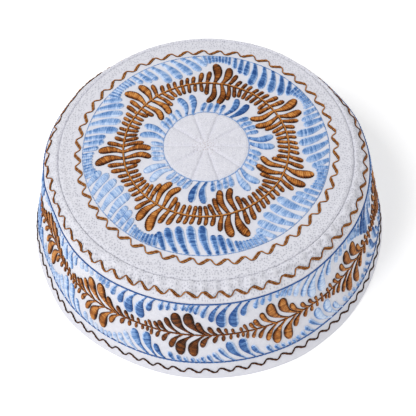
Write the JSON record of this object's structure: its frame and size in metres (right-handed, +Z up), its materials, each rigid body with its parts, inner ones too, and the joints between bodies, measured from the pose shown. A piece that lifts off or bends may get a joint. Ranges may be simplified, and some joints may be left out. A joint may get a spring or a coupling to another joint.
{
  "type": "prayer cap",
  "caption": "Round flat-topped cloth cap with a flared side band, an open hollow for the head, and embroidered leaves and wavy borders on crown and band.",
  "frame": {"origin": "centre of the hem's flat foot, where the cap rests", "axes": "+Z up from the hem to the crown, -Y towards the front of the picture, +X to its right"},
  "size_m": [0.1886, 0.1874, 0.0668],
  "materials": {
    "crown_cotton": "matt white cotton with blue and brown thread embroidery",
    "band_cotton": "matt white cotton with blue and brown thread embroidery"
  },
  "bodies": {
    "root": {"crown_panel": "crown_cotton", "side_band": "band_cotton"}
  },
  "joints": []
}
